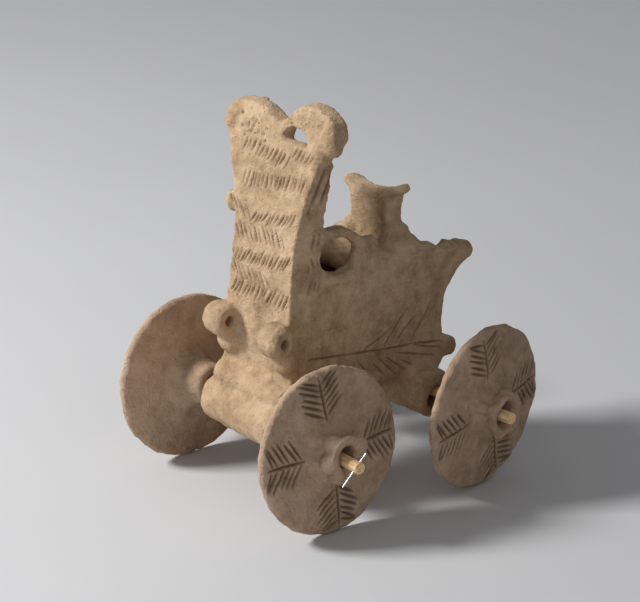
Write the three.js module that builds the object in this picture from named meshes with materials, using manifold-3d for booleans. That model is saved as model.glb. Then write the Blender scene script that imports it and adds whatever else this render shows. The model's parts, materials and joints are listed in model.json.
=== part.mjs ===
// Terracotta model of a four-wheeled chariot. Millimetres, +Z up. The front faces -Y and the
// chariot's left side faces +X. The clay body was luted together from slabs and coils, and each
// of those is a mesh here. Four disc wheels turn loosely on two wooden dowels.

import * as THREE from "three";
import { mergeVertices } from "three/addons/utils/BufferGeometryUtils.js";
import Module from "manifold-3d";

const wasm = await Module();
wasm.setup();

// Clearances
const seam = 0.3; // left between two clay pieces that are luted together
const seatGap = 0.35; // left between a dowel and the bore that it lies in
const cutMargin = 2; // how far a cutting solid runs past the face that it cuts

// Body box
const bodyHalfWidth = 24;
const wallThickness = 6;
const floorBottom = 45;
const floorThickness = 9;
const bodyFrontY = -35;
const bodyRearY = 52;
const rearWallThickness = 6;
const bandTopZ = 122; // side wall's height beside the shield
const bandRearY = -5;
const hipY = 24; // where the side wall has come down to its rear height
const rearRimLeftZ = 103.5;
const rearRimRightZ = 100;
const wingReach = 14; // how far the upper rear corners flare behind the rear face
const wingZ = 92;

// Side window behind the shield
const windowLength = 21;
const windowHeight = 16;
const windowFrontY = -18.5;
const windowBottomZ = 101.5;
const windowSlant = -8; // degrees, lower towards the rear

// Shield
const shieldThickness = 7;
const shieldTopZ = 160;
const shieldLeanZ = 75; // the face is upright below this height
const shieldLean = 11.5; // how far the face has moved back at the shield's top
const leanPower = 1.6;
const apronHalfWidth = 23.5;
const waistLeft = 21.8;
const waistRight = 21;
const waistZ = 104;
const shieldTopLeft = 30.5;
const shieldTopRight = 34;
const flangeThickness = 6;
const flangeRearY = -15;

// Rein loops on the shield's top
const loopThickness = 8;
const loopSpanLeft = 37.5;
const loopRiseLeft = 17.7;
const loopSpanRight = 36;
const loopRiseRight = 11.8;
const notchRise = 6.7;
const loopHoleStart = 2.6;
const loopHoleLength = 17;
const loopHoleRise = 6.6;

// Pierced lugs at the shield's foot
const lugRadius = 7.6;
const lugLength = 13;
const lugX = 19.1;
const lugZ = 76.6;
const lugStandOff = 4.6; // lug's axis ahead of the shield's face
const lugHoleRadius = 2.5;

// Seat deck and seat back
const deckTopZ = 101;
const deckThickness = 6.3;
const deckFrontY = 4;
const deckRearY = 48;
const seatBackY = 33;
const seatBackThickness = 10;
const seatBackHeight = 28;
const seatBackFootHalf = 16.5;
const seatBackNeckHalf = 12;
const seatBackTopHalf = 17;
const seatBackNeckRise = 13;
const seatBackTilt = 4; // the left tip stands higher than the right one
const seatBackSag = 4;

// Horns on the wings, and the step behind the body
const hornLength = 18;
const hornRise = 9.2;
const hornThickness = 8;
const stepReach = 9;
const stepThickness = 8.5;
const stepTopZ = 56;

// Axle tubes
const tubeRadius = 11;
const tubeZ = 36.5;
const frontTubeY = -36;
const rearTubeY = 38.5;
const frontTubeHalf = 29.5;
const rearTubeHalf = 35;
const frontTubeBore = 4.4;
const rearTubeBore = 5.4;
const tubeRound = 3;
const frontTubeSkew = -4.4; // degrees in plan, the left end forward
const rearTubeSkew = 2;

// Wooden dowels and the wire pin
const dowelRadius = 2.6;
const frontDowelHalf = 77.5;
const rearDowelHalf = 78;
const frontDowelSkew = -4.4;
const rearDowelSkew = 4.5;
const frontDowelDrop = 0.5; // dowel's axis below the wheels' axes
const rearDowelDrop = 0.5;
const pinRadius = 0.35;
const pinHoleRadius = 0.7;
const pinLength = 17.5;
const pinInset = 2.6; // from the dowel's end
const pinShift = -1.8; // along the pin, so that its lower end is the longer one
const pinAngle = 46; // degrees above the rearward direction

// Wheels
const wheelRadius = 37.5;
const rimThickness = 4.6;
const webThickness = 7;
const naveWaistRadius = 10;
const naveBaseRadius = 15;
const naveNeckRadius = 8.8;
const naveEndRadius = 10.3;
const naveInnerRadius = 9;
const naveInnerLength = 19.5;
const frontNaveBore = 5;
const rearNaveBore = 5.8;
const naveDish = 2.5; // depth of the dished outer end
const dishRadius = 7.4;
const frontNaveOuter = 16;
const rearNaveOuter = 13.5;
const frontWheelInset = 23.9; // from the dowel's end to the wheel's middle plane
const rearLeftWheelInset = 18.4;
const rearRightWheelInset = 13.5;
const frontTrack = frontDowelHalf - frontWheelInset;
const rearLeftTrack = rearDowelHalf - rearLeftWheelInset;
const rearRightTrack = rearDowelHalf - rearRightWheelInset;

// Each wheel leans and toes a little, as far as its loose bore lets it. The track is its middle
// plane's distance from the chariot's centre line.
const wheels = [
  { name: "front_left", side: 1, front: true, track: frontTrack, toe: -0.4, lean: 3.6, broken: true },
  { name: "front_right", side: -1, front: true, track: frontTrack, toe: -0.6, lean: 2.5, broken: false },
  { name: "rear_left", side: 1, front: false, track: rearLeftTrack, toe: 10.8, lean: -3.2, broken: false },
  { name: "rear_right", side: -1, front: false, track: rearRightTrack, toe: 4, lean: 1.2, broken: false },
];

const roundSteps = 40;
const smallSteps = 24;
const curveSteps = 10;

const floorTop = floorBottom + floorThickness;
const innerHalf = bodyHalfWidth - wallThickness;
const panelHalf = innerHalf - seam;
const degrees = Math.PI / 180;

// Materials
function clay(color) {
  return new THREE.MeshStandardMaterial({ color, roughness: 0.92, metalness: 0 });
}
const wallClay = clay(0xb58d68);
const shieldClay = clay(0xc79f7c);
const wheelClay = clay(0xae8a6b);
const wood = new THREE.MeshStandardMaterial({ color: 0xe0b27c, roughness: 0.7, metalness: 0 });
const wire = new THREE.MeshStandardMaterial({ color: 0xdcdcd8, roughness: 0.3, metalness: 1 });

// Solids
function solid(geometry) {
  const plain = geometry.clone();
  plain.deleteAttribute("normal");
  plain.deleteAttribute("uv");
  const merged = mergeVertices(plain, 1e-4);
  const vertProperties = new Float32Array(merged.attributes.position.array);
  const triVerts = new Uint32Array(merged.index.array);
  return new wasm.Manifold(new wasm.Mesh({ numProp: 3, vertProperties, triVerts }));
}

function geometryOf(body) {
  const mesh = body.getMesh();
  const geometry = new THREE.BufferGeometry();
  geometry.setAttribute("position", new THREE.BufferAttribute(mesh.vertProperties.slice(), 3));
  geometry.setIndex(new THREE.BufferAttribute(mesh.triVerts.slice(), 1));
  geometry.computeVertexNormals();
  return geometry;
}

function piece(name, body, material) {
  const mesh = new THREE.Mesh(geometryOf(body), material);
  mesh.name = name;
  return mesh;
}

// An outline drawn as (y, z) and run along X from x0 to x1.
function acrossX(shape, x0, x1) {
  const geometry = new THREE.ExtrudeGeometry(shape, {
    depth: x1 - x0,
    bevelEnabled: false,
    curveSegments: curveSteps,
  });
  const turn = new THREE.Matrix4().makeBasis(
    new THREE.Vector3(0, 1, 0),
    new THREE.Vector3(0, 0, 1),
    new THREE.Vector3(1, 0, 0),
  );
  geometry.applyMatrix4(turn);
  geometry.translate(x0, 0, 0);
  return solid(geometry);
}

// An outline drawn as (x, z) and run along Y from y0 to y1.
function acrossY(shape, y0, y1) {
  const geometry = new THREE.ExtrudeGeometry(shape, {
    depth: y1 - y0,
    bevelEnabled: false,
    curveSegments: curveSteps,
  });
  geometry.rotateX(Math.PI / 2);
  geometry.translate(0, y1, 0);
  return solid(geometry);
}

function rodAlongX(radius, half, steps) {
  const geometry = new THREE.CylinderGeometry(radius, radius, 2 * half, steps);
  geometry.rotateZ(-Math.PI / 2);
  return solid(geometry);
}

// A ring of revolution about X, from a closed profile of (x, radius) points.
function turned(profile, steps) {
  const points = profile.map(([x, radius]) => new THREE.Vector2(radius, x));
  points.push(points[0].clone());
  const geometry = new THREE.LatheGeometry(points, steps);
  geometry.rotateZ(-Math.PI / 2);
  return solid(geometry);
}

function moved(body, x, y, z, skew = 0) {
  return body.rotate([0, 0, skew]).translate([x, y, z]);
}

function polygon(points) {
  return new THREE.Shape(points.map(([u, v]) => new THREE.Vector2(u, v)));
}

function spline(points) {
  return points.map(([u, v]) => new THREE.Vector2(u, v));
}

// Shield surfaces
function shieldFaceY(z) {
  const rise = Math.max(0, z - shieldLeanZ) / (shieldTopZ - shieldLeanZ);
  return bodyFrontY + shieldLean * Math.pow(rise, leanPower);
}

const loopTopZ = shieldTopZ + Math.max(loopRiseLeft, loopRiseRight);

// Heights at which the leaning face is sampled, from the apron's foot to the loops' top.
function faceHeights(bottom, top) {
  const steps = 12;
  return Array.from({ length: steps + 1 }, (_, i) => bottom + ((top - bottom) * i) / steps);
}

// Side view of a layer that follows the shield's face, from ahead to behind it.
function leaningLayer(bottom, top, ahead, behind) {
  const heights = faceHeights(bottom, top);
  const front = heights.map((z) => [shieldFaceY(z) + ahead, z]);
  const back = heights.map((z) => [shieldFaceY(z) + behind, z]).reverse();
  return polygon([...front, ...back]);
}

// Front outline of the shield, widened by grow on both edges.
function shieldOutline(grow, bottom, top) {
  const shape = new THREE.Shape();
  const side = (apron, waist, crown, sign) => [
    [sign * (apron + grow), bottom],
    [sign * (apron + grow), bottom + 10],
    [sign * (waist + grow), waistZ - 16],
    [sign * (waist + grow), waistZ + 20],
    [sign * (crown + grow), top],
  ];
  const left = side(apronHalfWidth, waistLeft, shieldTopLeft, 1);
  const right = side(apronHalfWidth, waistRight, shieldTopRight, -1).reverse();
  shape.moveTo(...left[0]);
  shape.splineThru(spline(left.slice(1)));
  shape.lineTo(...right[0]);
  shape.splineThru(spline(right.slice(1)));
  return shape;
}

// Axle tubes are made first, because the body is cut to sit on them.
function tubePlace(front) {
  return {
    y: front ? frontTubeY : rearTubeY,
    half: front ? frontTubeHalf : rearTubeHalf,
    bore: front ? frontTubeBore : rearTubeBore,
    skew: front ? frontTubeSkew : rearTubeSkew,
    dowelSkew: front ? frontDowelSkew : rearDowelSkew,
    dowelHalf: front ? frontDowelHalf : rearDowelHalf,
    drop: front ? frontDowelDrop : rearDowelDrop,
  };
}

const wheelZ = wheelRadius;

// How far a bore's axis may lie from its dowel's axis, where the two are skewed by an angle.
function spareRadius(bore, half, skew) {
  const room = bore - dowelRadius - seatGap;
  const taken = half * Math.sin(Math.abs(skew) * degrees);
  return Math.sqrt(Math.max(0, room * room - taken * taken));
}

function dowelZ(place) {
  return wheelZ - place.drop;
}

// The body's weight rests its bore's crown on the dowel.
function boreZ(place) {
  return dowelZ(place) - spareRadius(place.bore, place.half, place.dowelSkew - place.skew);
}

function axleTube(front) {
  const place = tubePlace(front);
  const end = place.half;
  const outside = turned(
    [
      [-end, 0],
      [-end, tubeRadius - tubeRound],
      [-end + tubeRound * 0.35, tubeRadius - tubeRound * 0.35],
      [-end + tubeRound, tubeRadius],
      [end - tubeRound, tubeRadius],
      [end - tubeRound * 0.35, tubeRadius - tubeRound * 0.35],
      [end, tubeRadius - tubeRound],
      [end, 0],
    ],
    roundSteps,
  );
  const bore = rodAlongX(place.bore, end + cutMargin, smallSteps);
  const shell = outside.subtract(bore.translate([0, 0, boreZ(place) - tubeZ]));
  return moved(shell, 0, place.y, tubeZ, place.skew);
}

// The saddle that a tube leaves in whatever sits on it.
function tubeSaddle(front) {
  const place = tubePlace(front);
  const reach = bodyHalfWidth + place.half;
  return moved(rodAlongX(tubeRadius + seam, reach, roundSteps), 0, place.y, tubeZ, place.skew);
}

const saddles = tubeSaddle(true).add(tubeSaddle(false));

// Shield: a leaning panel with its side edges turned back above the side walls.
function frontShield() {
  const reach = bodyHalfWidth;
  const panel = acrossX(
    leaningLayer(floorBottom, shieldTopZ, 0, shieldThickness),
    -loopSpanRight,
    loopSpanLeft,
  );
  const outline = acrossY(
    shieldOutline(0, floorBottom, shieldTopZ),
    bodyFrontY - reach,
    bodyFrontY + 2 * reach,
  );
  const inside = acrossY(
    shieldOutline(-flangeThickness, floorBottom, shieldTopZ + cutMargin),
    bodyFrontY - reach,
    bodyFrontY + 2 * reach,
  );
  const flangeFoot = bandTopZ + seam;
  const heights = faceHeights(flangeFoot, shieldTopZ);
  const flangeShape = polygon([
    ...heights.map((z) => [shieldFaceY(z) + shieldThickness / 2, z]),
    [flangeRearY, shieldTopZ - shieldThickness],
    [flangeRearY, flangeFoot],
  ]);
  const flange = acrossX(flangeShape, -loopSpanRight, loopSpanLeft);
  const sides = outline.intersect(flange).subtract(inside);
  return panel.intersect(outline).add(sides).subtract(saddles);
}

// Rein loops: straps arched over the shield's top edge. The right one is closed with clay.
function reinLoop(sign) {
  const left = sign > 0;
  const span = left ? loopSpanLeft : loopSpanRight;
  const rise = left ? loopRiseLeft : loopRiseRight;
  const foot = left ? shieldTopLeft : shieldTopRight;
  const base = shieldTopZ + seam;
  const shape = new THREE.Shape();
  shape.moveTo(sign * seam, base);
  shape.lineTo(sign * seam, shieldTopZ + notchRise);
  shape.splineThru(
    spline([
      [sign * span * 0.3, shieldTopZ + rise * 0.9],
      [sign * span * 0.55, shieldTopZ + rise],
      [sign * span * 0.83, shieldTopZ + rise * 0.84],
      [sign * span, shieldTopZ + rise * 0.38],
      [sign * foot, base],
    ]),
  );
  if (left) {
    const middle = loopHoleStart + loopHoleLength / 2;
    shape.lineTo(loopHoleStart + loopHoleLength, base);
    shape.absellipse(middle, base, loopHoleLength / 2, loopHoleRise, 0, Math.PI, false);
  }
  const strap = acrossY(shape, bodyFrontY, bodyFrontY + 2 * bodyHalfWidth);
  const layer = leaningLayer(shieldTopZ, loopTopZ + cutMargin, 0, loopThickness);
  return strap.intersect(acrossX(layer, -loopSpanRight - seam, loopSpanLeft + seam));
}

// Pierced lug, cut to the shield's face.
function yokeLug(sign) {
  const half = lugLength / 2;
  const y = shieldFaceY(lugZ) - lugStandOff;
  const knob = turned(
    [
      [-half, 0],
      [-half, lugRadius * 0.72],
      [-half * 0.62, lugRadius],
      [half * 0.62, lugRadius],
      [half, lugRadius * 0.72],
      [half, 0],
    ],
    smallSteps,
  );
  const hole = rodAlongX(lugHoleRadius, half + cutMargin, smallSteps);
  const shieldBody = acrossX(
    leaningLayer(floorBottom, shieldTopZ, -seam, bodyHalfWidth),
    sign * lugX - lugLength,
    sign * lugX + lugLength,
  );
  return moved(knob.subtract(hole), sign * lugX, y, lugZ).subtract(shieldBody);
}

// Side wall with its window, its falling top edge and the wing at its upper rear corner.
function sideWall(sign) {
  const rim = sign > 0 ? rearRimLeftZ : rearRimRightZ;
  const heights = faceHeights(floorBottom, bandTopZ);
  const behindShield = shieldThickness + seam;
  const front = heights.map((z) => [shieldFaceY(z) + behindShield, z]);
  const shape = new THREE.Shape();
  shape.moveTo(bodyRearY, floorBottom);
  shape.lineTo(bodyRearY, floorTop + 16);
  shape.splineThru(
    spline([
      [bodyRearY + wingReach * 0.15, wingZ - 13.5],
      [bodyRearY + wingReach * 0.45, wingZ - 7.5],
      [bodyRearY + wingReach, wingZ],
    ]),
  );
  shape.lineTo(deckRearY + seam, wingZ);
  shape.lineTo(deckRearY + seam, rim - 1.5);
  shape.lineTo(deckRearY - 3, rim);
  shape.lineTo(hipY, rim);
  shape.splineThru(
    spline([
      [hipY - (hipY - bandRearY) * 0.35, rim + (bandTopZ - rim) * 0.25],
      [bandRearY + (hipY - bandRearY) * 0.25, bandTopZ - (bandTopZ - rim) * 0.25],
      [bandRearY, bandTopZ],
    ]),
  );
  shape.lineTo(...front.at(-1));
  front.slice(0, -1).reverse().forEach((point) => shape.lineTo(...point));
  const middleY = windowFrontY + windowLength / 2;
  const middleZ = windowBottomZ + windowHeight / 2;
  const hole = new THREE.Path();
  hole.absellipse(
    middleY,
    middleZ,
    windowLength / 2,
    windowHeight / 2,
    0,
    2 * Math.PI,
    true,
    windowSlant * degrees,
  );
  shape.holes.push(hole);
  const near = innerHalf;
  const wall = sign > 0
    ? acrossX(shape, near, bodyHalfWidth)
    : acrossX(shape, -bodyHalfWidth, -near);
  return wall.subtract(saddles);
}

function floorSlab() {
  const frontY = bodyFrontY + shieldThickness + seam;
  const rearY = bodyRearY - rearWallThickness - seam;
  const shape = polygon([
    [frontY, floorBottom],
    [rearY, floorBottom],
    [rearY, floorTop],
    [frontY, floorTop],
  ]);
  return acrossX(shape, -panelHalf, panelHalf).subtract(saddles);
}

function rearWall() {
  const bottom = floorBottom;
  const top = deckTopZ - deckThickness - seam;
  const lean = bodyRearY - deckRearY;
  const shape = polygon([
    [bodyRearY - rearWallThickness, bottom],
    [bodyRearY, bottom],
    [bodyRearY, floorTop + 10],
    [bodyRearY - lean, top],
    [bodyRearY - lean - rearWallThickness, top],
    [bodyRearY - rearWallThickness, floorTop + 10],
  ]);
  return acrossX(shape, -panelHalf, panelHalf).subtract(saddles);
}

// Seat deck: a slab with a round front edge, hollow body below it.
function seatDeck() {
  const round = deckThickness / 2;
  const middle = deckTopZ - round;
  const shape = new THREE.Shape();
  shape.moveTo(deckRearY, middle - round);
  shape.lineTo(deckRearY, middle + round);
  shape.lineTo(deckFrontY + round, middle + round);
  shape.absarc(deckFrontY + round, middle, round, Math.PI / 2, (3 * Math.PI) / 2, false);
  return acrossX(shape, -panelHalf, panelHalf);
}

// Seat back: a slab that narrows to a neck and flares to two tips with a sagging edge between.
function seatBack() {
  const base = deckTopZ + seam;
  const tip = (sign) => base + seatBackHeight + (sign * seatBackTilt) / 2;
  const neck = base + seatBackNeckRise;
  const shape = new THREE.Shape();
  shape.moveTo(seatBackFootHalf, base);
  shape.splineThru(
    spline([
      [seatBackNeckHalf + (seatBackFootHalf - seatBackNeckHalf) * 0.3, base + seatBackNeckRise / 3],
      [seatBackNeckHalf, neck],
      [seatBackNeckHalf + (seatBackTopHalf - seatBackNeckHalf) * 0.3, tip(1) - seatBackNeckRise / 3],
      [seatBackTopHalf, tip(1)],
    ]),
  );
  shape.quadraticCurveTo(0, base + seatBackHeight - 2 * seatBackSag, -seatBackTopHalf, tip(-1));
  shape.splineThru(
    spline([
      [-seatBackNeckHalf - (seatBackTopHalf - seatBackNeckHalf) * 0.3, tip(-1) - seatBackNeckRise / 3],
      [-seatBackNeckHalf, neck],
      [-seatBackNeckHalf - (seatBackFootHalf - seatBackNeckHalf) * 0.3, base + seatBackNeckRise / 3],
      [-seatBackFootHalf, base],
    ]),
  );
  const half = seatBackThickness / 2;
  return acrossY(shape, seatBackY - half, seatBackY + half);
}

// Horn on a wing. The left one is a broken stub with a rough top.
function rearHorn(sign) {
  const base = wingZ + seam;
  const start = deckRearY + seam + seam;
  const rise = sign > 0 ? hornRise : hornRise - (rearRimLeftZ - rearRimRightZ);
  const broken = [
    [start, base],
    [start + hornLength, base],
    [start + hornLength + 1.2, base + rise * 0.62],
    [start + hornLength * 0.8, base + rise * 0.88],
    [start + hornLength * 0.62, base + rise * 0.7],
    [start + hornLength * 0.42, base + rise],
    [start + hornLength * 0.2, base + rise * 0.72],
    [start, base + rise * 0.9],
  ];
  const rounded = [
    [start, base],
    [start + hornLength, base],
    [start + hornLength + 1.6, base + rise * 0.35],
    [start + hornLength * 0.96, base + rise * 0.75],
    [start + hornLength * 0.7, base + rise],
    [start, base + rise],
  ];
  const outside = bodyHalfWidth + (hornThickness - wallThickness) / 2;
  const shape = polygon(sign > 0 ? broken : rounded);
  return sign > 0
    ? acrossX(shape, outside - hornThickness, outside)
    : acrossX(shape, -outside, hornThickness - outside);
}

// Step behind the body, rounded along its rear edge.
function rearStep() {
  const start = bodyRearY + seam;
  const round = stepThickness / 2;
  const middle = stepTopZ - round;
  const shape = new THREE.Shape();
  shape.moveTo(start, middle + round);
  shape.lineTo(start, middle - round);
  shape.lineTo(start + stepReach - round, middle - round);
  shape.absarc(start + stepReach - round, middle, round, -Math.PI / 2, Math.PI / 2, false);
  return acrossX(shape, -bodyHalfWidth, bodyHalfWidth);
}

// Dowel with a cross hole for the wire pin near its left end, about its own axis.
function pinAcross(radius, half, x, shift) {
  const rod = rodAlongX(radius, half, smallSteps / 2).translate([shift, 0, 0]);
  return rod.rotate([0, -pinAngle, 0]).rotate([0, 0, 90]).translate([x, 0, 0]);
}

function dowel(front) {
  const place = tubePlace(front);
  const rod = rodAlongX(dowelRadius, place.dowelHalf, smallSteps);
  if (!front) return rod;
  return rod.subtract(pinAcross(pinHoleRadius, dowelRadius + cutMargin, place.dowelHalf - pinInset, 0));
}

// Wheel disc: thick in the middle, round at the rim.
function wheelDisc() {
  const web = webThickness / 2;
  const rim = rimThickness / 2;
  const hole = naveWaistRadius + seam;
  return turned(
    [
      [web, hole],
      [-web, hole],
      [-web, naveBaseRadius + 3],
      [-rim, wheelRadius - rim],
      [-rim * 0.7, wheelRadius - rim * 0.3],
      [0, wheelRadius],
      [rim * 0.7, wheelRadius - rim * 0.3],
      [rim, wheelRadius - rim],
      [web, naveBaseRadius + 3],
    ],
    roundSteps,
  );
}

// Nave: a bored barrel through the disc, with a broad foot on each face of it. The outer end is
// turned out like a trumpet and dished; sign is the direction of that end.
function nave(sign, outer, bore, broken) {
  const foot = webThickness / 2 + seam;
  const profile = [
    [-naveInnerLength, bore],
    [outer - naveDish, bore],
    [outer, dishRadius],
    [outer, naveEndRadius],
    [outer - 2.5, naveEndRadius - 0.6],
    [foot + (outer - foot) * 0.4, naveNeckRadius],
    [foot, naveBaseRadius - 1],
    [foot, naveWaistRadius],
    [-foot, naveWaistRadius],
    [-foot, naveBaseRadius],
    [-foot - (naveInnerLength - foot) * 0.35, naveNeckRadius + 1.6],
    [-naveInnerLength + 1.5, naveInnerRadius],
    [-naveInnerLength, naveInnerRadius - 1.5],
  ];
  const ordered = sign > 0 ? profile : profile.map(([x, r]) => [-x, r]).reverse();
  const barrel = turned(ordered.reverse(), smallSteps);
  if (!broken) return barrel;
  const chip = new THREE.BoxGeometry(2 * naveEndRadius, 4 * naveEndRadius, 4 * naveEndRadius);
  const blade = solid(chip).rotate([0, 22, 14]);
  return barrel.subtract(blade.translate([sign * (outer + naveEndRadius * 0.94), 0, 0]));
}

// The chariot
const chariot = new THREE.Group();

chariot.add(
  piece("floor_slab", floorSlab(), wallClay),
  piece("front_shield", frontShield(), shieldClay),
  piece("side_wall_left", sideWall(1), wallClay),
  piece("side_wall_right", sideWall(-1), wallClay),
  piece("rear_wall", rearWall(), wallClay),
  piece("rear_step", rearStep(), wallClay),
  piece("seat_deck", seatDeck(), wallClay),
  piece("seat_back", seatBack(), wallClay),
);

for (const [side, sign] of [["left", 1], ["right", -1]]) {
  chariot.add(
    piece(`rein_loop_${side}`, reinLoop(sign), shieldClay),
    piece(`yoke_lug_${side}`, yokeLug(sign), shieldClay),
    piece(`rear_horn_${side}`, rearHorn(sign), wallClay),
  );
}

for (const [end, front] of [["front", true], ["rear", false]]) {
  const place = tubePlace(front);
  chariot.add(piece(`${end}_axle_tube`, axleTube(front), wallClay));
  const axle = new THREE.Group();
  axle.position.set(0, place.y, dowelZ(place));
  axle.rotation.z = place.dowelSkew * degrees;
  axle.add(piece(`${end}_axle_dowel`, dowel(front), wood));
  if (front) {
    const pin = pinAcross(pinRadius, pinLength / 2, place.dowelHalf - pinInset, pinShift);
    axle.add(piece("linchpin_wire", pin, wire));
  }
  chariot.add(axle);
}

// A wheel's group has its origin in the disc's middle and its X axis along the bore.
for (const wheel of wheels) {
  const place = tubePlace(wheel.front);
  const outer = wheel.front ? frontNaveOuter : rearNaveOuter;
  const bore = wheel.front ? frontNaveBore : rearNaveBore;
  const toe = wheel.toe * degrees;
  const lean = wheel.lean * degrees;
  const group = new THREE.Group();
  group.rotation.set(0, -lean, toe, "ZYX");
  // The bore's middle, not the disc's, stands straight above the dowel's axis.
  const middle = (wheel.side * (outer - naveInnerLength)) / 2;
  const along = new THREE.Vector3(middle, 0, 0).applyEuler(group.rotation);
  const x = wheel.side * wheel.track;
  const dowelY = place.y + (x + along.x) * Math.tan(place.dowelSkew * degrees);
  // What the skew and the lean leave free in the bore lets the wheel sit a little to the rear.
  const naveHalf = (outer + naveInnerLength) / 2;
  const crossing = Math.hypot(wheel.toe - place.dowelSkew, wheel.lean);
  const spare = spareRadius(bore, naveHalf, 0) - naveHalf * Math.sin(crossing * degrees);
  const slack = Math.sqrt(Math.max(0, spare * spare - place.drop * place.drop));
  const rim = rimThickness / 2;
  const z = (wheelRadius - rim) * Math.cos(lean) + rim;
  group.position.set(x, dowelY - along.y + slack, z);
  group.add(
    piece(`${wheel.name}_wheel_disc`, wheelDisc(), wheelClay),
    piece(`${wheel.name}_wheel_nave`, nave(wheel.side, outer, bore, wheel.broken), wheelClay),
  );
  chariot.add(group);
}

// The frame's origin is under the middle of the whole model, where its wheels stand.
const model = new THREE.Group();
model.add(chariot);
model.updateMatrixWorld(true);
const box = new THREE.Box3().setFromObject(model, true);
chariot.position.set(-(box.min.x + box.max.x) / 2, -(box.min.y + box.max.y) / 2, -box.min.z);

export default model;
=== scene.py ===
"""Fired-clay chariot model: a hand-built body, four incised disc wheels, two wooden dowels, a pin."""

import json
import math
import random

import bmesh
import bpy
import numpy as np
from mathutils import Matrix, Vector, noise


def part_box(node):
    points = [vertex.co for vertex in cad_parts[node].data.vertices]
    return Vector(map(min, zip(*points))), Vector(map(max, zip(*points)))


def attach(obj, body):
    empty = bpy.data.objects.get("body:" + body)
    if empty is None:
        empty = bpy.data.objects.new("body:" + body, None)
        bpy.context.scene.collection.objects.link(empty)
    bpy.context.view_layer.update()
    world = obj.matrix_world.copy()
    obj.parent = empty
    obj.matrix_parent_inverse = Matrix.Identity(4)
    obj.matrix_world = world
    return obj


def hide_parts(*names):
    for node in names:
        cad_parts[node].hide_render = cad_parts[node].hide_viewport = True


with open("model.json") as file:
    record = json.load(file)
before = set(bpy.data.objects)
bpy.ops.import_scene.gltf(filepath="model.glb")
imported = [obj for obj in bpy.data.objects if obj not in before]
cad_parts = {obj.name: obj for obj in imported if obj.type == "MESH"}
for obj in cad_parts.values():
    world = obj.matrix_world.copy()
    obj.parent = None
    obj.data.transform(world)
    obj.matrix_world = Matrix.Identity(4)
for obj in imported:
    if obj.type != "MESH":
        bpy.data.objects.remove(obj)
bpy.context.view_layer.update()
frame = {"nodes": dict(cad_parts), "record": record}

MM = 0.001
rng = random.Random(7)

BODY_NODES = [
    "floor_slab", "front_shield", "side_wall_left", "side_wall_right", "rear_wall", "rear_step",
    "seat_deck", "seat_back", "rein_loop_left", "rein_loop_right", "yoke_lug_left",
    "yoke_lug_right", "rear_horn_left", "rear_horn_right", "front_axle_tube", "rear_axle_tube",
]
WHEELS = ["front_left", "front_right", "rear_left", "rear_right"]
JOINTS = {joint["name"]: joint for joint in frame["record"]["behaviour"]["joints"]}

# Places on the chariot are millimetres: x from its centre line to its left, y towards the rear
# and z up from the ground. SHIFT takes them to the frame's origin, to the nearest micron.
FLOOR_FRONT = -27.7  # y of the floor slab's front edge
floor_low, floor_high = (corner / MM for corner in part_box("floor_slab"))
SHIFT = Vector((
    round((floor_low.x + floor_high.x) / 2, 3),
    round(floor_low.y - FLOOR_FRONT, 3),
    0.0,
))

# The shield's face stands upright to LEAN_FROM and then leans back to SHIELD_TOP.
SHIELD_FRONT = -35.0
SHIELD_TOP = 160.0
LEAN_FROM = 75.0
LEAN = 11.5
LEAN_POWER = 1.6
WALL_X = 24.0  # outer face of a side wall


def face_y(z):
    """How far forward the shield's face is at this height."""
    rise = max(0.0, z - LEAN_FROM) / (SHIELD_TOP - LEAN_FROM)
    return SHIELD_FRONT + LEAN * rise ** LEAN_POWER


def frame_mm(x, y, z):
    """A place on the chariot in the frame, in millimetres."""
    return tuple(Vector((x, y, z)) + SHIFT)


def frame_metres(x, y, z):
    """A place on the chariot in the frame, in metres."""
    return (Vector((x, y, z)) + SHIFT) * MM


# Shader maths

class Socket:
    """A shader socket, whose operators add Math nodes."""

    def __init__(self, finish, socket):
        self.finish = finish
        self.socket = socket

    def math(self, operation, a, b):
        return self.finish.node("ShaderNodeMath", {"operation": operation}, {0: a, 1: b})

    def __add__(self, other):
        return self.math("ADD", self, other)

    def __radd__(self, other):
        return self.math("ADD", other, self)

    def __mul__(self, other):
        return self.math("MULTIPLY", self, other)

    def __rmul__(self, other):
        return self.math("MULTIPLY", other, self)


# The colour sockets of a Mix node, which share their names with its float and vector ones.
MIX_FACTOR = 0
MIX_FIRST = 6
MIX_SECOND = 7
MIX_RESULT = 2


def set_stops(ramp, stops):
    """Gives a colour ramp its stops, each a position and a colour."""
    while len(ramp.elements) < len(stops):
        ramp.elements.new(1.0)
    for element, (position, colour) in zip(ramp.elements, stops):
        element.position = position
        element.color = (*colour, 1.0)


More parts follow.
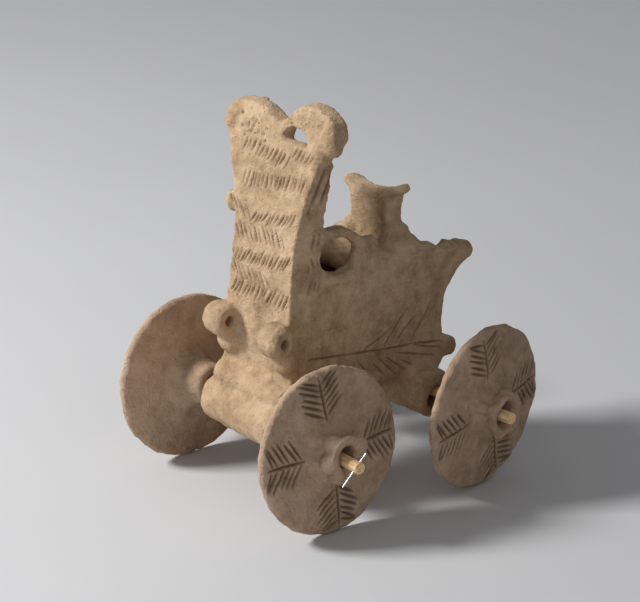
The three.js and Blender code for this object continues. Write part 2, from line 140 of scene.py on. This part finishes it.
class Finish:
    """A node material under construction."""

    def __init__(self, name):
        self.material = bpy.data.materials.new(name)
        self.material.use_nodes = True
        self.tree = self.material.node_tree
        self.shader = self.tree.nodes["Principled BSDF"]
        self.place = self.node("ShaderNodeTexCoord", {}, {}, "Object")

    def join(self, value, socket):
        """Links a socket or sets its value; a colour may be given as three numbers."""
        if isinstance(value, Socket):
            self.tree.links.new(value.socket, socket)
        elif socket.type == "RGBA":
            socket.default_value = (*value, 1.0)
        else:
            socket.default_value = value

    def node(self, kind, settings, inputs, output=0):
        """One shader node: its settings, then the values or links of its sockets."""
        node = self.tree.nodes.new(kind)
        for key, value in settings.items():
            if key == "stops":
                set_stops(node.color_ramp, value)
            else:
                setattr(node, key, value)
        for key, value in inputs.items():
            self.join(value, node.inputs[key])
        return Socket(self, node.outputs[output])

    def feed(self, name, value):
        self.join(value, self.shader.inputs[name])

    def ramp(self, factor, stops):
        return self.node("ShaderNodeValToRGB", {"stops": stops}, {0: factor})

    def grain(self, scale, detail=4.0, rough=0.6):
        sockets = {"Vector": self.place, "Scale": scale, "Detail": detail, "Roughness": rough}
        return self.node("ShaderNodeTexNoise", {}, sockets)

    def step(self, value, low, high):
        """Nought at low and one at high, with a soft slope between them."""
        sockets = {"Value": value, "From Min": low, "From Max": high}
        return self.node("ShaderNodeMapRange", {"interpolation_type": "SMOOTHSTEP"}, sockets)

    def mix(self, factor, first, second):
        sockets = {MIX_FACTOR: factor, MIX_FIRST: first, MIX_SECOND: second}
        return self.node("ShaderNodeMix", {"data_type": "RGBA"}, sockets, MIX_RESULT)

    def bump(self, height, strength, distance):
        sockets = {"Strength": strength, "Distance": distance, "Height": height}
        self.feed("Normal", self.node("ShaderNodeBump", {}, sockets))


# Finishes

RUST = (0.62, 0.30, 0.15)
# Painted shade: the dark colour laid into the cut grooves in place of the shade inside them.
GROOVE_SHADE = (0.13, 0.08, 0.05)
DARK_GRIT = (0.20, 0.13, 0.08)
PALE_GRIT = (0.86, 0.73, 0.58)


def clay_finish(name, pale, tan, brown, stain):
    """Fired clay: cloudy firing colour, stains, sandy grain, pits, and painted shade darkening the
    cut grooves.
    """
    f = Finish(name)
    cloud = f.grain(28.0, detail=5.0, rough=0.62)
    mottle = f.grain(150.0, detail=6.0, rough=0.7)
    sand = f.grain(900.0, detail=5.0, rough=0.75)
    stained = f.step(f.grain(17.0, detail=4.0, rough=0.7), 0.56, 0.72)
    rusty = f.step(f.grain(75.0, detail=3.0, rough=0.6), 0.66, 0.78)
    hollow = f.node("ShaderNodeAttribute", {"attribute_name": "hollow"}, {}, "Fac")
    pits = f.node("ShaderNodeTexVoronoi", {}, {"Vector": f.place, "Scale": 420.0}, "Distance")

    colour = f.ramp(cloud * 0.5 + mottle * 0.5, [(0.38, brown), (0.5, tan), (0.6, pale)])
    colour = f.mix(stained * 0.55, colour, stain)
    colour = f.mix(rusty * 0.35, colour, RUST)
    # Painted shade: the grooves darken with their depth, standing in for the shade that falls inside
    # them.
    colour = f.mix(hollow * 0.75, colour, GROOVE_SHADE)
    colour = f.mix(f.step(sand, 0.36, 0.3) * 0.6, colour, DARK_GRIT)
    colour = f.mix(f.step(sand, 0.64, 0.72) * 0.45, colour, PALE_GRIT)
    f.feed("Base Color", colour)
    f.feed("Roughness", 0.86 + mottle * 0.12)
    f.feed("Specular IOR Level", 0.25)
    height = sand * 0.55 + mottle * 0.9 + f.step(pits, 0.0, 0.3) * 0.35
    f.bump(height, strength=1.0, distance=0.0011)
    return f.material


def wood_finish():
    """Pale orange dowel wood, its fibres along x."""
    f = Finish("dowel_wood")
    stretch = {"Vector": f.place, "Scale": (60.0, 900.0, 900.0)}
    along = f.node("ShaderNodeMapping", {}, stretch)
    fibre = f.node("ShaderNodeTexNoise", {}, {"Vector": along, "Scale": 1.0, "Detail": 5.0})
    dark = (0.60, 0.36, 0.16)
    middle = (0.80, 0.54, 0.29)
    light = (0.90, 0.68, 0.42)
    f.feed("Base Color", f.ramp(fibre, [(0.3, dark), (0.5, middle), (0.7, light)]))
    f.feed("Roughness", 0.55 + fibre * 0.2)
    f.bump(fibre, strength=0.4, distance=0.0002)
    return f.material


def wire_finish():
    """Bright drawn wire."""
    f = Finish("pin_wire")
    streak = f.grain(1500.0)
    f.feed("Base Color", f.ramp(streak, [(0.3, (0.62, 0.62, 0.6)), (0.7, (0.9, 0.9, 0.88))]))
    f.feed("Metallic", 0.85)
    f.feed("Roughness", 0.25 + streak * 0.2)
    return f.material


def floor_finish():
    """Plain pale grey paper."""
    f = Finish("floor_paper")
    dull = (0.60, 0.60, 0.61)
    bright = (0.63, 0.63, 0.64)
    f.feed("Base Color", f.ramp(f.grain(3.0), [(0.3, dull), (0.7, bright)]))
    f.feed("Roughness", 0.9)
    return f.material


BODY_CLAY = clay_finish(
    "body_clay",
    pale=(0.60, 0.435, 0.28),
    tan=(0.48, 0.33, 0.20),
    brown=(0.31, 0.20, 0.115),
    stain=(0.45, 0.33, 0.22),
)
WHEEL_CLAY = clay_finish(
    "wheel_clay",
    pale=(0.57, 0.41, 0.29),
    tan=(0.47, 0.325, 0.22),
    brown=(0.33, 0.225, 0.15),
    stain=(0.41, 0.32, 0.25),
)
WOOD = wood_finish()
WIRE = wire_finish()


# Clay forms

def new_object(name, bm):
    mesh = bpy.data.meshes.new(name)
    bm.to_mesh(mesh)
    bm.free()
    obj = bpy.data.objects.new(name, mesh)
    bpy.context.scene.collection.objects.link(obj)
    return obj


def node_forms(names):
    """The CAD solids of these nodes, copied into one bmesh."""
    bm = bmesh.new()
    for name in names:
        bm.from_mesh(bpy.data.objects[name].data)
    bmesh.ops.remove_doubles(bm, verts=bm.verts, dist=1e-6)
    return bm


def turned(degrees, axis):
    return Matrix.Rotation(math.radians(degrees), 4, axis)


def lump(bm, centre, radii, turn=(0, 0, 0)):
    """An egg of clay pressed on, with its radii in millimetres and its turns in degrees."""
    rotation = turned(turn[2], "Z") @ turned(turn[1], "Y") @ turned(turn[0], "X")
    size = Matrix.Diagonal((*(Vector(radii) * MM), 1.0))
    place = Matrix.Translation(frame_metres(*centre)) @ rotation @ size
    bmesh.ops.create_icosphere(bm, subdivisions=3, radius=1.0, matrix=place)


def coil(bm, start, end, start_radius, end_radius):
    """A roll of clay from one place to another."""
    a = frame_metres(*start)
    b = frame_metres(*end)
    axis = b - a
    along = axis.to_track_quat("Z", "Y").to_matrix().to_4x4()
    bmesh.ops.create_cone(
        bm,
        cap_ends=True,
        segments=24,
        radius1=start_radius * MM,
        radius2=end_radius * MM,
        depth=axis.length,
        matrix=Matrix.Translation((a + b) / 2) @ along,
    )


def apply_modifier(obj, kind, **settings):
    """Puts one modifier's result in the place of the object's mesh."""
    modifier = obj.modifiers.new(kind.lower(), kind)
    for key, value in settings.items():
        setattr(modifier, key, value)
    graph = bpy.context.evaluated_depsgraph_get()
    mesh = bpy.data.meshes.new_from_object(obj.evaluated_get(graph))
    obj.modifiers.clear()
    old = obj.data
    obj.data = mesh
    bpy.data.meshes.remove(old)


def fused(name, bm, voxel, rounds):
    """Clay forms fused to one skin and smoothed, as wet fingers do."""
    obj = new_object(name, bm)
    apply_modifier(obj, "REMESH", mode="VOXEL", voxel_size=voxel * MM, adaptivity=0.0)
    apply_modifier(obj, "SMOOTH", factor=0.5, iterations=rounds)
    return obj


def refine(obj, zones):
    """Splits the faces that lie in any of the zones, each a test on a place and a normal."""
    bm = bmesh.new()
    bm.from_mesh(obj.data)
    chosen = []
    for face in bm.faces:
        centre = face.calc_center_median() / MM - SHIFT
        if any(zone(centre, face.normal) for zone in zones):
            chosen.append(face)
    edges = list({edge for face in chosen for edge in face.edges})
    bmesh.ops.subdivide_edges(bm, edges=edges, cuts=1, use_grid_fill=True, smooth=0.0)
    bm.to_mesh(obj.data)
    bm.free()


# Cuts: each is (start, end, half width, depth) in frame millimetres, and a dot ends where it starts

CUT_REACH = 2.6  # in half widths, how far a cut moves the clay
CUT_TAPER = 0.45  # how much shallower and narrower a stroke is at its ends
BANK_PLACE = 1.6  # in half widths, where the raised bank stands
BANK_WIDTH = 0.6
BANK_HEIGHT = 0.22  # of the cut's depth
FINE_SIZE = 1.7  # millimetres between fine bumps
FINE_HEIGHT = 0.22  # of the skin's unevenness
SHADE_DEPTH = 0.75  # millimetres of cut depth that get the full painted shade
SWELL_SOFTNESS = 0.8  # how fast the finer octaves of a swelling die away
SWELL_STEP = 2.0  # how much finer each octave is
SWELL_OCTAVES = 3
SMALLEST_SQUARE = 1e-9  # keeps a dot, which has no length, from dividing by nought


def press(points, cut, depth, ridge):
    """Adds one cut's groove and the bank beside it to the depths and heights of the points."""
    start, end, width, deep = cut
    a = np.array(start)
    b = np.array(end)
    low = np.minimum(a, b) - CUT_REACH * width
    high = np.maximum(a, b) + CUT_REACH * width
    near = np.nonzero(np.all((points > low) & (points < high), axis=1))[0]
    if not len(near):
        return
    along = b - a
    square = max(float(along @ along), SMALLEST_SQUARE)
    t = np.clip((points[near] - a) @ along / square, 0.0, 1.0)
    gap = np.linalg.norm(points[near] - (a + t[:, None] * along), axis=1)
    taper = 1.0 - CUT_TAPER * np.abs(2 * t - 1) ** 2
    groove = np.clip(1.0 - (gap / (width * taper)) ** 2, 0.0, 1.0) * deep * taper
    depth[near] = np.maximum(depth[near], groove)
    bank = np.exp(-((gap - BANK_PLACE * width) / (BANK_WIDTH * width)) ** 2) * deep * BANK_HEIGHT
    ridge[near] = np.maximum(ridge[near], bank)


def carve(obj, cuts, unevenness, lumpiness):
    """Presses the cuts into the skin, and gives it the unevenness of clay shaped by hand."""
    mesh = obj.data
    count = len(mesh.vertices)
    points = np.empty(count * 3)
    normals = np.empty(count * 3)
    mesh.vertices.foreach_get("co", points)
    mesh.vertex_normals.foreach_get("vector", normals)
    points = points.reshape(-1, 3) / MM
    normals = normals.reshape(-1, 3)
    depth = np.zeros(count)
    ridge = np.zeros(count)
    for cut in cuts:
        press(points, cut, depth, ridge)
    swell = np.array([
        noise.fractal(Vector(p) / lumpiness, SWELL_SOFTNESS, SWELL_STEP, SWELL_OCTAVES)
        for p in points
    ]) * unevenness
    fine = np.array([noise.noise(Vector(p) / FINE_SIZE) for p in points])
    fine = fine * unevenness * FINE_HEIGHT
    ridge = np.where(depth > 0, 0, ridge)
    points = points + normals * (swell + fine + ridge - depth)[:, None]
    mesh.vertices.foreach_set("co", (points * MM).reshape(-1))
    # Each point's cut depth is kept as the amount of painted shade the clay finish lays on it.
    hollow = mesh.attributes.new("hollow", "FLOAT", "POINT")
    hollow.data.foreach_set("value", np.clip(depth / SHADE_DEPTH, 0.0, 1.0))
    mesh.update()
    for polygon in mesh.polygons:
        polygon.use_smooth = True


# Half width and depth of each kind of cut that doesn't vary.
SIDE_CUT = (1.0, 0.8)
FLANGE_CUT = (1.1, 0.9)
WALL_LINE_CUT = (0.6, 0.8)
WALL_STROKE_CUT = (0.5, 0.6)
DOT_CUT = (0.62, 1.3)
RIB_CUT = (0.85, 1.2)


def leaning(length, lean):
    """Half a stroke's run sideways and upwards; lean is degrees from upright."""
    sideways = math.sin(math.radians(lean)) * length / 2
    upwards = math.cos(math.radians(lean)) * length / 2
    return sideways, upwards


# Rows on the shield's face: x from and to, z at each end, stroke length, lean, spacing.
FACE_ROWS = [
    (-19, 9, 154, 152, 7.0, 24, 2.7),
    (13, 28, 156, 157, 6.0, 26, 3.0),
    (-17, 22, 139, 145, 7.0, 10, 2.5),
    (-24, -12, 129, 125, 7.5, -38, 2.6),
    (-8, 18, 124, 128, 6.5, 30, 2.5),
    (-20, 13, 116, 118, 8.0, -26, 2.9),
    (-19, 17, 105, 109, 7.5, 27, 2.4),
    (-19, 6, 99, 98, 8.0, -36, 2.8),
    (-17, 18, 91, 93, 8.5, 26, 2.6),
]
# Rows on the shield's left side: y from and to, z, stroke length, lean, spacing.
SIDE_ROWS = [
    (-27, -18, 119, 6.5, 16, 2.3),
    (-28, -17, 109, 6.0, -14, 2.4),
    (-27, -17, 99, 7.0, 18, 2.6),
]


def face_strokes():
    """The shield's herringbone, row by row."""
    cuts = []
    for x0, x1, z0, z1, length, lean, spacing in FACE_ROWS:
        steps = int(abs(x1 - x0) / spacing)
        for i in range(steps + 1):
            t = i / steps
            x = x0 + (x1 - x0) * t + rng.uniform(-0.5, 0.5)
            z = z0 + (z1 - z0) * t + rng.uniform(-0.7, 0.7)
            size = length * rng.uniform(0.8, 1.15)
            dx, dz = leaning(size, lean + rng.uniform(-6, 6))
            start = frame_mm(x - dx, face_y(z - dz), z - dz)
            end = frame_mm(x + dx, face_y(z + dz), z + dz)
            cuts.append((start, end, rng.uniform(0.45, 0.65), rng.uniform(0.6, 1.0)))
    return cuts


def side_strokes():
    """Short rows on the shield's left side, where the skin lies a little within the wall's face."""
    x = WALL_X - 0.6
    cuts = []
    for y0, y1, z, length, lean, spacing in SIDE_ROWS:
        dy, dz = leaning(length, lean)
        for i in range(int((y1 - y0) / spacing) + 1):
            y = y0 + i * spacing + rng.uniform(-0.4, 0.4)
            cuts.append((frame_mm(x, y - dy, z - dz), frame_mm(x, y + dy, z + dz), *SIDE_CUT))
    return cuts


def flange_strokes():
    """Long strokes up the shield's flared left side."""
    first_y = -25
    spacing = 1.6
    foot_z = 132
    stagger = 3.5
    foot_x = 23.4
    flare = 0.1  # how much further out each stroke is than the last
    top_x = 28.5
    setback = 3.0
    rise = 17
    cuts = []
    for i in range(7):
        y = first_y + i * spacing
        z = foot_z + (i % 3) * stagger
        start = frame_mm(foot_x + flare * i, y, z)
        end = frame_mm(top_x + flare * i, y + setback, z + rise)
        cuts.append((start, end, *FLANGE_CUT))
    return cuts


# Places on a side wall are (y, z).
WALL_LINE = [(-26, 66), (-3.4, 63), (15.7, 60.5), (34.8, 58.6), (51, 55.9)]
WALL_STROKES = [
    ((18.8, 56), (32.5, 45.6)), ((24, 57), (46, 50.5)), ((34.5, 58), (50.5, 53)),
    ((10.5, 55.5), (18.3, 47.5)), ((2, 59), (9, 49)), ((-9, 60), (-2, 49)),
    ((27, 53), (37, 47)), ((14, 57), (24, 47)), ((-18, 62), (-12, 50)),
    ((21, 69), (3.3, 61.5)), ((36, 72), (24, 62)), ((45, 76), (33, 60)), ((31, 76), (17, 62)),
]


def wall_cuts():
    """The incised line low on each side wall, with the strokes that branch from it."""
    cuts = []
    for sign in (1, -1):
        x = sign * WALL_X
        for start, end in zip(WALL_LINE, WALL_LINE[1:]):
            cuts.append((frame_mm(x, *start), frame_mm(x, *end), *WALL_LINE_CUT))
        for start, end in WALL_STROKES:
            cuts.append((frame_mm(x, *start), frame_mm(x, *end), *WALL_STROKE_CUT))
    return cuts


LOOP_X = 19  # middle of the left loop
LOOP_Z = 160.5
DOT_RINGS = [(11.5, 9.5, 8), (14.0, 12.2, 10), (16.3, 15.0, 12)]  # half width, height, gaps
DOT_FROM = 18  # degrees, where each arch of dots starts
DOT_ROUND = 150  # degrees, how far round it goes
DOT_LEAST_X = 3
CLOSED_X = -15.6  # middle of the closed right loop
CLOSED_Z = 161


def loop_dots():
    """Pricked dots over the left loop, in three arches."""
    cuts = []
    for half_width, height, gaps in DOT_RINGS:
        for i in range(gaps + 1):
            angle = math.radians(DOT_FROM + i * (DOT_ROUND / gaps) + rng.uniform(-4, 4))
            x = LOOP_X + half_width * math.cos(angle)
            z = LOOP_Z + height * math.sin(angle)
            if x < DOT_LEAST_X:
                continue
            point = frame_mm(x, face_y(z), z)
            cuts.append((point, point, *DOT_CUT))
    return cuts


def loop_pits():
    """Pits in the clay that closes the right loop."""
    cuts = []
    for _ in range(26):
        x = CLOSED_X + rng.gauss(0, 5)
        z = CLOSED_Z + rng.gauss(0, 3.2)
        point = frame_mm(x, face_y(z), z)
        cuts.append((point, point, rng.uniform(0.8, 2.2), rng.uniform(0.5, 1.4)))
    return cuts


def chips(count, low, high):
    """Small pits at random between two corners, where temper has burnt out or clay has flaked."""
    cuts = []
    for _ in range(count):
        point = frame_mm(*(rng.uniform(a, b) for a, b in zip(low, high)))
        cuts.append((point, point, rng.uniform(0.5, 1.3), rng.uniform(0.3, 0.8)))
    return cuts


# Body

BODY_VOXEL = 1.06
BODY_ROUNDS = 5
BODY_UNEVENNESS = 0.55
BODY_LUMPINESS = 9.0


def press_roots(bm, sign):
    """Clay smoothed from a lug into the shield, and from a side wall over the tubes and the step."""
    lump(bm, (sign * 18.5, -35.5, 66.5), (6.5, 4.6, 6.5))
    coil(bm, (sign * 18, -33, 52), (sign * 21, -35.8, 37), 7.0, 8.5)
    lump(bm, (sign * 22.5, 38.5, 44.0), (3.6, 12.5, 7.0))
    lump(bm, (sign * 20.5, 50.5, 53.0), (3.6, 4.5, 6.5))


def press_shoulder(bm, sign):
    """A shoulder that rises from the side wall to the seat back, fuller on the left."""
    left = sign > 0
    lump(bm, (sign * 15.5, 31, 101.5), (8.6, 12.0, 8.0 if left else 4.0))
    lump(bm, (sign * 12.5, 33, 105.5), (6.0, 7.6, 8.5 if left else 6.5))
    lump(bm, (sign * 21.3, 8.0, 108 if left else 105), (3.2, 8.5, 7.0), (28, 0, 0))


def press_aprons(bm):
    """The shield's foot drawn over the front tube, and the floor's underside over the rear one."""
    coil(bm, (-23, -35, 50), (23, -36, 48.5), 6.5, 6.5)
    coil(bm, (-22, -32, 50), (22, -32, 50), 6.0, 6.0)
    coil(bm, (-17, 37, 46), (17, 38, 46), 9.0, 9.0)


def press_window_lip(bm):
    """Lower lip of the left window, pushed outwards."""
    coil(bm, (24.2, -17.5, 101.0), (24.2, -6, 98.6), 2.4, 2.8)
    coil(bm, (24.2, -6, 98.6), (23.4, 3.4, 101.2), 2.8, 2.4)


def press_horns(bm):
    """The broken left horn, a flaked knob, and the round stub of the right one."""
    lump(bm, (22.0, 60.5, 95.5), (5.0, 7.2, 5.6), (-18, 0, 6))
    lump(bm, (23.0, 65.0, 96.0), (3.4, 3.4, 4.2))
    lump(bm, (21.5, 53.0, 96.0), (3.6, 5.5, 4.6))
    lump(bm, (-22.0, 62.5, 93.5), (4.8, 6.6, 4.6), (-14, 0, -6))


def press_edges(bm):
    """The flared lip of the seat back, and the bulge on the shield's right edge."""
    lump(bm, (15.5, 33.6, 128.0), (4.2, 5.2, 2.2), (0, -22, 0))
    lump(bm, (-15.5, 32.6, 125.5), (4.0, 5.2, 2.0), (0, 22, 0))
    lump(bm, (-25.2, -27.0, 126.0), (3.6, 3.4, 5.2))


def press_straps(bm):
    """The loops' straps, drawn round into the shield's corners and closed on the right."""
    lump(bm, (33.2, -20.5, 166.0), (4.6, 4.6, 7.0), (0, -28, 0))
    lump(bm, (28.5, -21.5, 160.5), (4.4, 4.6, 6.5), (0, -20, 0))
    lump(bm, (-31.5, -20.5, 160.0), (5.0, 4.6, 5.5), (0, 25, 0))
    lump(bm, (-14.0, -17.5, 163.0), (11.0, 4.4, 8.6))
    lump(bm, (0.0, -19.0, 162.0), (4.2, 3.6, 5.2))


def on_shield_face(p, n):
    """Front of the shield, from above the lugs to the tops of the loops."""
    return p.z > 84 and n.y < -0.5 and p.y < face_y(p.z) + 3 and abs(p.x) < 40


def on_shield_side(p, n):
    """Left side of the shield and its flange."""
    return n.x > 0.6 and p.x > 20 and -34 < p.y < -12 and 92 < p.z < 156


def on_wall_foot(p, n):
    """The left side wall as high as its incised line and strokes go."""
    return n.x > 0.8 and p.x > 22 and 44 < p.z < 76


def body_cuts():
    cuts = face_strokes() + side_strokes() + flange_strokes() + wall_cuts()
    cuts += loop_dots() + loop_pits()
    cuts += chips(60, (23.5, -30, 60), (24.5, 50, 100))  # left wall
    cuts += chips(70, (-22, -36.2, 50), (22, -34.6, 90))  # foot of the shield
    cuts += chips(26, (11.5, 28.5, 103), (13.5, 37.5, 128))  # left side of the seat back
    cuts += chips(24, (20, 50, 95), (26, 67, 102))  # left horn
    return cuts


def make_body():
    bm = node_forms(BODY_NODES)
    for sign in (1, -1):
        press_roots(bm, sign)
        press_shoulder(bm, sign)
    press_aprons(bm)
    press_window_lip(bm)
    press_horns(bm)
    press_edges(bm)
    press_straps(bm)
    body = fused("clay_body", bm, BODY_VOXEL, BODY_ROUNDS)
    refine(body, [on_shield_face, on_shield_side, on_wall_foot])
    carve(body, body_cuts(), BODY_UNEVENNESS, BODY_LUMPINESS)
    body.data.materials.append(BODY_CLAY)
    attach(body, "chariot_body")
    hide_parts(*BODY_NODES)


# Wheels

WHEEL_VOXEL = 0.85
WHEEL_ROUNDS = 4
WHEEL_UNEVENNESS = 0.55
WHEEL_LUMPINESS = 8.0
MOTIF_TURN = {"front_left": 6, "front_right": 20, "rear_left": 14, "rear_right": 40}
RIB_FROM = 15.0  # radii between which a motif's rib runs
RIB_TO = 34.0
PAIRS = 6
PAIRS_FROM = 17.0  # radii of the first and the last pair of strokes
PAIRS_TO = 32.0
STROKES_END = 35.4  # no stroke goes further out than this
RIB_GAP = 1.3  # from the rib to where its strokes begin
SPREAD = 0.62  # outward run of a stroke for each millimetre across
WEB_HALF = 3.5  # half the disc's thickness as far out as THIN_FROM
THIN_FROM = 18
THIN_OVER = 17  # the run over which the disc thins towards its rim
THINNING = 1.2


class WheelPlace:
    """A wheel's middle, its outward axis, and directions back and up across its face."""

    def __init__(self, name):
        joint = JOINTS[f"{name}_wheel_spin"]
        side = 1 if name.endswith("left") else -1
        axis = Vector(joint["axis"]).normalized()
        self.centre = Vector(joint["pos_m"]) / MM
        self.outward = axis * side
        self.back = axis.cross(Vector((0, 0, 1))).normalized() * -1
        self.up = axis.cross(self.back)
        if self.up.z < 0:
            self.up = -self.up

    def spoke(self, turn):
        return self.back * math.cos(turn) + self.up * math.sin(turn)

    def across(self, turn):
        return -self.back * math.sin(turn) + self.up * math.cos(turn)


def tree_motif(place, turn):
    """A rib that runs out towards the rim, with a spray of strokes on each side."""
    out = place.spoke(turn)
    across = place.across(turn)

    def on_disc(r, s):
        thin = min(max((math.hypot(r, s) - THIN_FROM) / THIN_OVER, 0), 1)
        height = WEB_HALF - THINNING * thin
        return tuple(place.centre + out * r + across * s + place.outward * height)

    cuts = [(on_disc(RIB_FROM, 0), on_disc(RIB_TO, rng.uniform(-0.8, 0.8)), *RIB_CUT)]
    for i in range(PAIRS):
        r = PAIRS_FROM + i * (PAIRS_TO - PAIRS_FROM) / (PAIRS - 1)
        for way in (1, -1):
            reach = rng.uniform(7.0, 10.0)
            begin = on_disc(r + rng.uniform(-0.5, 0.5), way * RIB_GAP)
            end = on_disc(min(r + reach * SPREAD, STROKES_END), way * (RIB_GAP + reach))
            cuts.append((begin, end, rng.uniform(0.7, 0.9), rng.uniform(0.9, 1.2)))
    return cuts


def press_nave(bm, place, lumps, extra):
    """Uneven clay left round the nave's outer end and at its root."""
    middle = place.centre - SHIFT
    for i in range(lumps):
        spoke = place.spoke(2 * math.pi * i / lumps + rng.uniform(-0.4, 0.4))
        size = rng.uniform(2.6, 3.6) + extra
        end = middle + spoke * 8.8 + place.outward * rng.uniform(8.5, 12.5)
        root = middle + spoke * 10.5 + place.outward * 4.0
        lump(bm, end, (size, size, size))
        lump(bm, root, (4.2, 4.2, 3.0))


def nave_chips(place):
    """Pits round the outer nave."""
    cuts = []
    for _ in range(34):
        spoke = place.spoke(rng.uniform(0, 2 * math.pi))
        point = place.centre + spoke * rng.uniform(8.0, 11.5) + place.outward * rng.uniform(4.5, 16)
        cuts.append((tuple(point), tuple(point), rng.uniform(0.6, 1.6), rng.uniform(0.4, 1.0)))
    return cuts


def disc_chips(place):
    """Pits on both faces of the disc, two out of three of them on the outer one."""
    cuts = []
    for _ in range(70):
        spoke = place.spoke(rng.uniform(0, 2 * math.pi))
        radius = rng.uniform(12, 36.5)
        height = rng.choice((1, 1, -1)) * (3.3 if radius < 20 else 2.5)
        point = place.centre + spoke * radius + place.outward * height
        cuts.append((tuple(point), tuple(point), rng.uniform(0.5, 1.4), rng.uniform(0.3, 0.8)))
    return cuts


def make_wheel(name):
    place = WheelPlace(name)
    nodes = [f"{name}_wheel_disc", f"{name}_wheel_nave"]
    broken = name == "front_left"
    bm = node_forms(nodes)
    press_nave(bm, place, lumps=6 if broken else 4, extra=0.8 if broken else 0)
    wheel = fused(f"{name}_clay_wheel", bm, WHEEL_VOXEL, WHEEL_ROUNDS)

    def on_outer_face(p, n):
        return n.dot(place.outward) > 0.75 and (p + SHIFT - place.centre).length > 12

    refine(wheel, [on_outer_face])
    cuts = nave_chips(place)
    for quarter in range(4):
        turn = math.radians(MOTIF_TURN[name] + 90 * quarter + rng.uniform(-6, 6))
        cuts += tree_motif(place, turn)
    cuts += disc_chips(place)
    carve(wheel, cuts, WHEEL_UNEVENNESS, WHEEL_LUMPINESS)
    wheel.data.materials.append(WHEEL_CLAY)
    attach(wheel, f"{name}_wheel")
    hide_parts(*nodes)


# Dowels and pin

DOWEL_CHAMFER = 0.35
SIDE_CORNERS = 4  # a side face of the dowel has four, and an end has many


def make_dowel(end):
    node = f"{end}_axle_dowel"
    joint = JOINTS[f"{end}_axle_turn"]
    low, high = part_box(node)
    axis = Vector(joint["axis"]).normalized()
    centre = Vector(joint["pos_m"])
    radius = (high.z - low.z) / 2
    half = (high.x - centre.x - radius * abs(axis.y)) / axis.x
    along = axis.to_track_quat("Z", "Y").to_matrix().to_4x4()
    bm = bmesh.new()
    bmesh.ops.create_cone(
        bm,
        cap_ends=True,
        segments=48,
        radius1=radius,
        radius2=radius,
        depth=2 * half,
        matrix=Matrix.Translation(centre) @ along,
    )
    ends = [face for face in bm.faces if len(face.verts) > SIDE_CORNERS]
    rims = [edge for face in ends for edge in face.edges]
    bmesh.ops.bevel(
        bm,
        geom=rims,
        offset=DOWEL_CHAMFER * MM,
        affect="EDGES",
        segments=3,
        profile=0.5,
        material=-1,
    )
    dowel = new_object(f"{end}_wooden_dowel", bm)
    for polygon in dowel.data.polygons:
        polygon.use_smooth = len(polygon.vertices) == SIDE_CORNERS
    dowel.data.materials.append(WOOD)
    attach(dowel, f"{end}_axle")
    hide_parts(node)


def finish_pin():
    """The wire pin keeps its CAD form."""
    pin = frame["nodes"]["linchpin_wire"]
    pin.data.materials.clear()
    pin.data.materials.append(WIRE)


# Floor, light and camera

STAGE_HALF = 3.0
LIGHT_AIM = Vector((0, 0, 0.07))
WORLD_COLOUR = (0.80, 0.81, 0.83, 1)
WORLD_STRENGTH = 0.3

# The camera stands to the left front, as it did for the photograph.
VIEW_ROUND = math.radians(50)
VIEW_UP = math.radians(20.5)
VIEW_DISTANCE = 1.6
LENS = 205.2
SENSOR = 36.0
NEAREST = 0.05
AIM = frame_metres(0.4, 0.45, 80.2)


def make_floor():
    bm = bmesh.new()
    bmesh.ops.create_grid(bm, x_segments=1, y_segments=1, size=STAGE_HALF)
    floor = new_object("floor", bm)
    floor.data.materials.append(floor_finish())


def lamp(name, power, size, place):
    data = bpy.data.lights.new(name, "AREA")
    data.energy = power
    data.size = size
    obj = bpy.data.objects.new(name, data)
    obj.location = place
    obj.rotation_euler = (LIGHT_AIM - Vector(place)).to_track_quat("-Z", "Y").to_euler()
    bpy.context.scene.collection.objects.link(obj)


def make_world():
    world = bpy.data.worlds.new("studio")
    world.use_nodes = True
    background = world.node_tree.nodes["Background"]
    background.inputs["Color"].default_value = WORLD_COLOUR
    background.inputs["Strength"].default_value = WORLD_STRENGTH
    bpy.context.scene.world = world


def make_camera():
    data = bpy.data.cameras.new("camera")
    data.lens = LENS
    data.sensor_width = SENSOR
    data.clip_start = NEAREST
    level = math.cos(VIEW_UP)
    sight = Vector((
        math.sin(VIEW_ROUND) * level,
        -math.cos(VIEW_ROUND) * level,
        math.sin(VIEW_UP),
    ))
    camera = bpy.data.objects.new("camera", data)
    camera.location = AIM + sight * VIEW_DISTANCE
    camera.rotation_euler = (-sight).to_track_quat("-Z", "Y").to_euler()
    bpy.context.scene.collection.objects.link(camera)
    bpy.context.scene.camera = camera


make_body()
for wheel_name in WHEELS:
    make_wheel(wheel_name)
for axle_end in ("front", "rear"):
    make_dowel(axle_end)
finish_pin()
make_floor()
lamp("key", power=19.0, size=0.3, place=(-0.6, -0.85, 0.85))
lamp("fill", power=1.6, size=1.2, place=(0.9, -0.9, 0.5))
make_world()
make_camera()
bpy.context.scene.view_settings.view_transform = "Standard"
